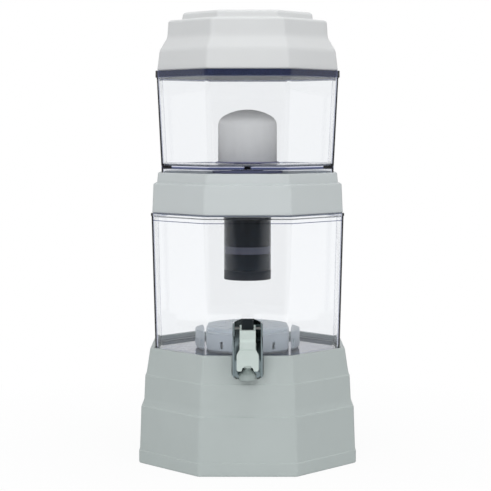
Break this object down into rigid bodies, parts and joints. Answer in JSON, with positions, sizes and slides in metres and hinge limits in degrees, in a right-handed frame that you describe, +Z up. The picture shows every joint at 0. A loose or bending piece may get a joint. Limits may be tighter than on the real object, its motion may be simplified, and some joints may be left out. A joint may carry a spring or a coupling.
{
  "type": "gravity water filter with tap",
  "caption": "Octagonal countertop gravity water filter: clear upper and lower tanks, ceramic dome, screw-in cartridge, mineral cassette, stepped stand and lever tap.",
  "frame": {"origin": "middle of the stand's bottom rim, on the surface that it stands on", "axes": "+Z up, -Y towards the user: the tap is on the -Y side"},
  "size_m": [0.2664, 0.2855, 0.55],
  "materials": {
    "stand_plastic": "moulded ABS, pale grey-green white, semi-gloss",
    "ring_plastic": "moulded ABS, semi-gloss",
    "lid_plastic": "moulded ABS, semi-gloss",
    "tank_clear": "clear moulded acrylic-like plastic with a faint blue tint",
    "ceramic": "unglazed white ceramic",
    "plate_plastic": "grey-violet moulded plastic",
    "soft_rubber": "soft black rubber",
    "silicone": "white silicone",
    "cartridge_tint": "dark smoke-tinted plastic",
    "cartridge_dark": "dark grey plastic",
    "carbon": "black granular carbon",
    "felt": "grey filter felt",
    "cassette_clear": "blue-grey translucent plastic",
    "minerals": "small mineral stones",
    "tap_white": "white moulded plastic",
    "tap_grey": "grey moulded plastic",
    "shroud_smoke": "smoked chrome plating",
    "pad_black": "black soft-touch plastic",
    "steel": "stainless steel"
  },
  "bodies": {
    "stand": {"base_shell": "stand_plastic"},
    "tank_lower": {"lower_tank": "tank_clear", "tap_body": "tap_white", "tap_bonnet": "tap_grey", "tap_washer_front": "soft_rubber", "tap_washer_rear": "soft_rubber", "tap_nut": "tap_white", "tap_shroud": "shroud_smoke", "lever_pin": "steel", "tap_spout": "tap_grey", "valve_spring": "steel"},
    "lever": {"tap_lever": "tap_white", "lever_pad": "pad_black"},
    "plunger": {"valve_plunger": "tap_grey", "valve_cup": "silicone"},
    "cassette": {"cassette_dish": "cassette_clear", "mineral_bed": "minerals"},
    "cassette_cover": {"cassette_lid": "cassette_clear"},
    "ring": {"middle_ring": "ring_plastic"},
    "tank_upper": {"upper_tank": "tank_clear", "ceramic_dome": "ceramic", "dome_plate": "plate_plastic", "dome_washer": "soft_rubber"},
    "gasket": {"cartridge_gasket": "soft_rubber"},
    "cartridge": {"cartridge_cap": "plate_plastic", "cartridge_housing": "cartridge_tint", "cartridge_grid": "cartridge_dark", "lower_bed": "carbon", "divider_pad": "felt", "carbon_bed": "carbon", "upper_pad": "felt"},
    "lid": {"lid_shell": "lid_plastic"}
  },
  "joints": [
    {"name": "tank_lift", "type": "slide", "parent": "stand", "child": "tank_lower", "axis": [0, 0, 1], "range_m": [0, 0.04]},
    {"name": "ring_lift", "type": "slide", "parent": "tank_lower", "child": "ring", "axis": [0, 0, 1], "range_m": [0, 0.1]},
    {"name": "upper_lift", "type": "slide", "parent": "ring", "child": "tank_upper", "axis": [0, 0, 1], "range_m": [0, 0.14]},
    {"name": "lid_lift", "type": "slide", "parent": "tank_upper", "child": "lid", "axis": [0, 0, 1], "range_m": [0, 0.06]},
    {"name": "cassette_lift", "type": "slide", "parent": "tank_lower", "child": "cassette", "axis": [0, 0, 1], "range_m": [0, 0.025]},
    {"name": "cover_lift", "type": "slide", "parent": "cassette", "child": "cassette_cover", "axis": [0, 0, 1], "range_m": [0, 0.02]},
    {"name": "lever_press", "type": "hinge", "parent": "tank_lower", "child": "lever", "pos_m": [0, -0.12598, 0.1757], "axis": [-1, 0, 0], "range_deg": [0, 14], "stiffness_Nm_per_rad": 0.15, "springref_deg": -8.59},
    {"name": "plunger_lift", "type": "slide", "parent": "tank_lower", "child": "plunger", "axis": [0, 0, 1], "range_m": [0, 0.0028], "deforming": ["valve_spring"]},
    {"name": "cartridge_drop", "type": "slide", "parent": "tank_upper", "child": "gasket", "axis": [0, 0, -1], "range_m": [0, 0.0046]},
    {"name": "cartridge_turn", "type": "hinge", "parent": "gasket", "child": "cartridge", "pos_m": [0, 0, 0.34], "axis": [0, 0, 1], "range_deg": [0, 540]}
  ],
  "couplings": [
    {"joint": "plunger_lift", "follows": "lever_press", "m_per_rad": 0.01064},
    {"joint": "cartridge_drop", "follows": "cartridge_turn", "m_per_rad": 0.00047746}
  ]
}
